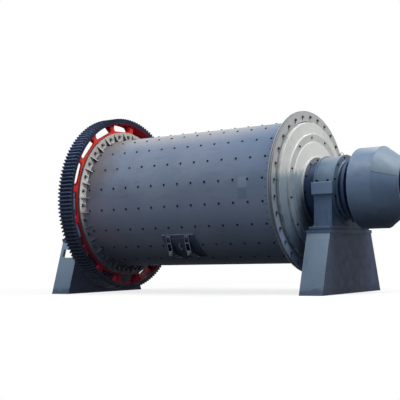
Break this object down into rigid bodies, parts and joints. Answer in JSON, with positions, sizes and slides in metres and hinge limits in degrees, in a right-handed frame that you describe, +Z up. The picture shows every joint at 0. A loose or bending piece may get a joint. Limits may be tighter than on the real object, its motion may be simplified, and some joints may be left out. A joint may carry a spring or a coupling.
{
  "type": "ball mill",
  "caption": "Ball mill: a horizontal steel drum on trunnion bearings and tapered pedestals, with a girth gear at one end and a cone-mouthed drum feeder at the other.",
  "frame": {"origin": "on the ground, under the middle of the mill", "axes": "+X along the drum towards the feeder, +Y across it, +Z up"},
  "size_m": [6.049, 2.92, 2.976],
  "materials": {
    "mill_paint": "blue-grey machine enamel with dust and streaks",
    "dusty_paint": "grey enamel under pale dust",
    "head_paint": "cast head, pale primer above and grey-blue enamel below",
    "gear_casting": "red enamel on web and arms, dark bare teeth",
    "trunnion_steel": "painted neck and turned journal",
    "liner_steel": "bare dark steel",
    "bearing_bronze": "turned bearing metal",
    "stand_paint": "blue-grey machine enamel",
    "pedestal_paint": "blue-grey machine enamel on plate",
    "feeder_paint": "blue-grey machine enamel with a paler plate seam",
    "clamp_steel": "dark worn enamel"
  },
  "bodies": {
    "stand": {"feed_pedestal": "pedestal_paint", "feed_sole_plate": "stand_paint", "feed_bearing_base": "stand_paint", "feed_bearing_cap": "stand_paint", "feed_bearing_liner": "bearing_bronze", "feed_outer_seal": "stand_paint", "feed_inner_seal": "stand_paint", "drive_pedestal": "pedestal_paint", "drive_sole_plate": "stand_paint", "drive_bearing_base": "stand_paint", "drive_bearing_cap": "stand_paint", "drive_bearing_liner": "bearing_bronze", "drive_outer_seal": "stand_paint", "drive_inner_seal": "stand_paint"},
    "mill": {"shell": "mill_paint", "feed_shell_flange": "dusty_paint", "drive_shell_flange": "dusty_paint", "drive_flange_gussets": "dusty_paint", "feed_head": "head_paint", "drive_head": "head_paint", "feed_trunnion": "trunnion_steel", "drive_trunnion": "trunnion_steel", "feed_trunnion_liner": "liner_steel", "drive_trunnion_liner": "liner_steel", "girth_gear": "gear_casting", "manhole_frame": "mill_paint", "manhole_door": "mill_paint", "manhole_clamp_drive_side": "clamp_steel", "manhole_clamp_feed_side": "clamp_steel", "manhole_handle": "clamp_steel", "feeder_neck": "feeder_paint", "feeder_back_plate": "feeder_paint", "feeder_drum": "feeder_paint", "feeder_cone": "feeder_paint", "feeder_mouth_ring": "feeder_paint"}
  },
  "joints": [
    {"name": "drum_spin", "type": "hinge", "parent": "stand", "child": "mill", "pos_m": [1.9425, 0, 1.516], "axis": [1, 0, 0], "continuous": true}
  ]
}
